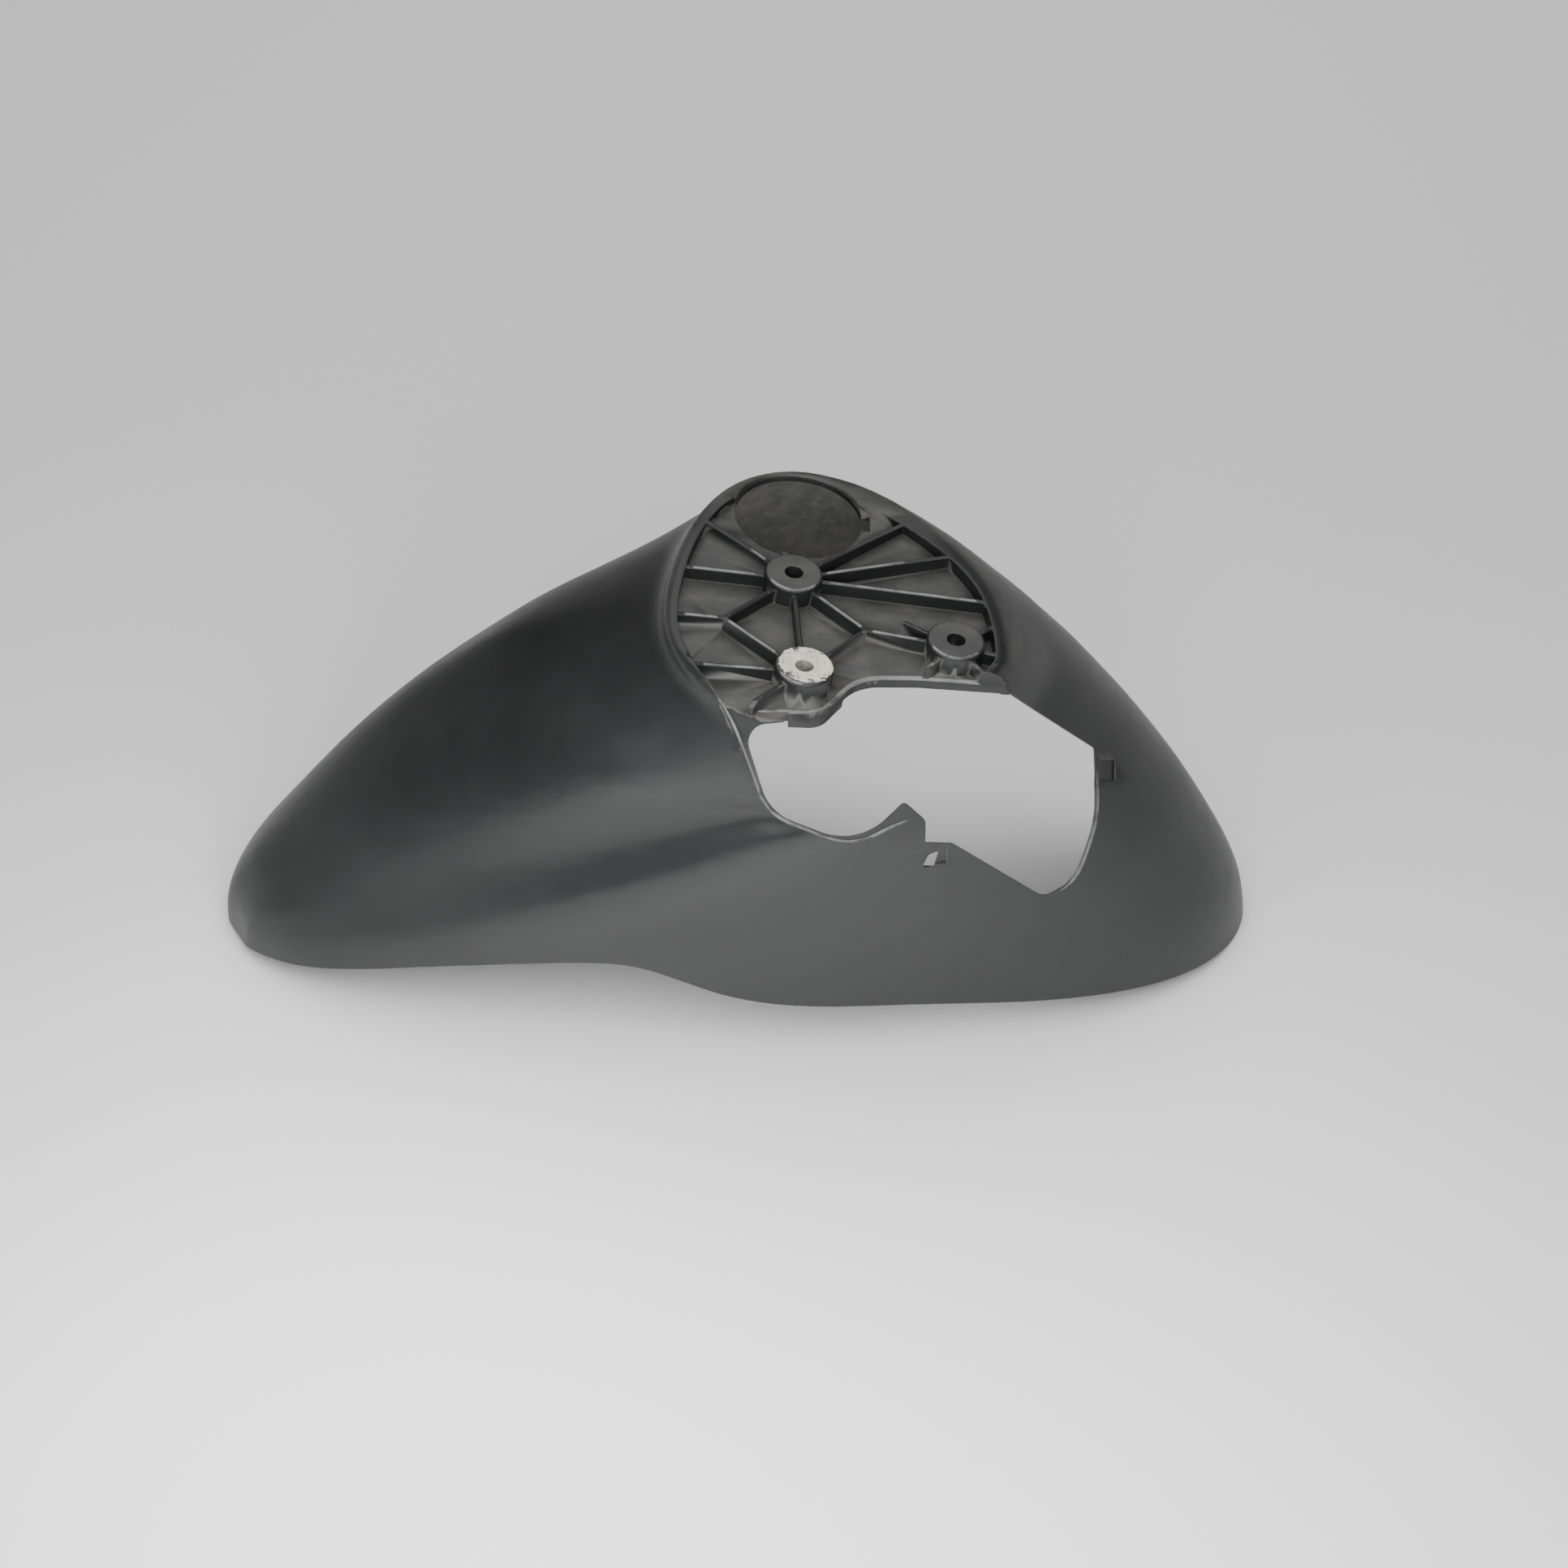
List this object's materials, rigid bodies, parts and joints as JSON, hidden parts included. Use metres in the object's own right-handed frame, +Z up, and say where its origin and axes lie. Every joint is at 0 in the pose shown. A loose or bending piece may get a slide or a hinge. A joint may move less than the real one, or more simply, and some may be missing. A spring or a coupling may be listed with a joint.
{
  "type": "scooter front mudguard",
  "caption": "Doubly curved front mudguard moulded in one piece, with a ribbed fork seat, steering hole, raised bolt bosses and a side opening for a one-sided fork arm.",
  "frame": {"origin": "centre of the steering hole on the floor of the fork seat", "axes": "+X to the rear of the vehicle, +Y to the closed side, -Y to the fork side, +Z up; the seat leans back by 7.4 degrees"},
  "size_m": [0.5508, 0.229, 0.2675],
  "materials": {
    "shell": "satin black moulded plastic with a fine grain, worn pale on one boss face"
  },
  "bodies": {
    "root": {"mudguard": "shell"}
  },
  "joints": []
}
